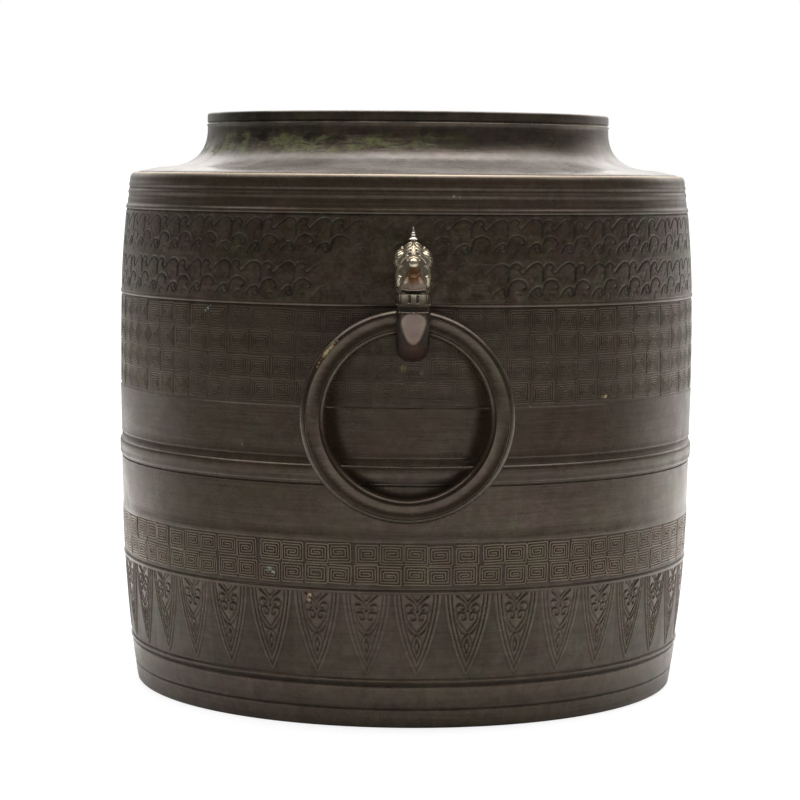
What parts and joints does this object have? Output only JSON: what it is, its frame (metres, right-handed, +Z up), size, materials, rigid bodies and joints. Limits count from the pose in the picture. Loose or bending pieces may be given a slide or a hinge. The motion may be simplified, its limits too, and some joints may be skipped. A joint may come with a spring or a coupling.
{
  "type": "twin-handled ritual bronze pot",
  "caption": "Cast bronze pot with a barrel body, hollow-swept shoulder, short neck, bands of fret, wave and blade relief, and loose rings in animal-head lugs.",
  "frame": {"origin": "centre of the standing face, on the pot's axis", "axes": "+Z up along the pot's axis, front lug and ring towards -Y, back lug and ring towards +Y"},
  "size_m": [0.3002, 0.3464, 0.296],
  "materials": {
    "patinated_bronze": "dark brown cast patina with green corrosion in the hollows",
    "bright_bronze": "worn, nearly bare bronze"
  },
  "bodies": {
    "pot": {"pot_foot": "patinated_bronze", "pot_wall": "patinated_bronze", "pot_neck": "patinated_bronze", "base_plate": "patinated_bronze", "front_lug": "patinated_bronze", "back_lug": "patinated_bronze", "front_lug_finial": "bright_bronze", "back_lug_finial": "bright_bronze", "front_upper_rivet": "bright_bronze", "back_upper_rivet": "bright_bronze", "front_lower_rivet": "bright_bronze", "back_lower_rivet": "bright_bronze", "front_upper_rove": "bright_bronze", "back_upper_rove": "bright_bronze", "front_lower_rove": "bright_bronze", "back_lower_rove": "bright_bronze"},
    "ring_front": {"front_ring": "patinated_bronze"},
    "ring_back": {"back_ring": "patinated_bronze"}
  },
  "joints": [
    {"name": "front_ring_swing", "type": "hinge", "parent": "pot", "child": "ring_front", "pos_m": [0, -0.1566, 0.1966], "axis": [-1, 0, 0], "range_deg": [-1, 188]},
    {"name": "back_ring_swing", "type": "hinge", "parent": "pot", "child": "ring_back", "pos_m": [0, 0.1566, 0.1966], "axis": [1, 0, 0], "range_deg": [-1, 188]}
  ]
}
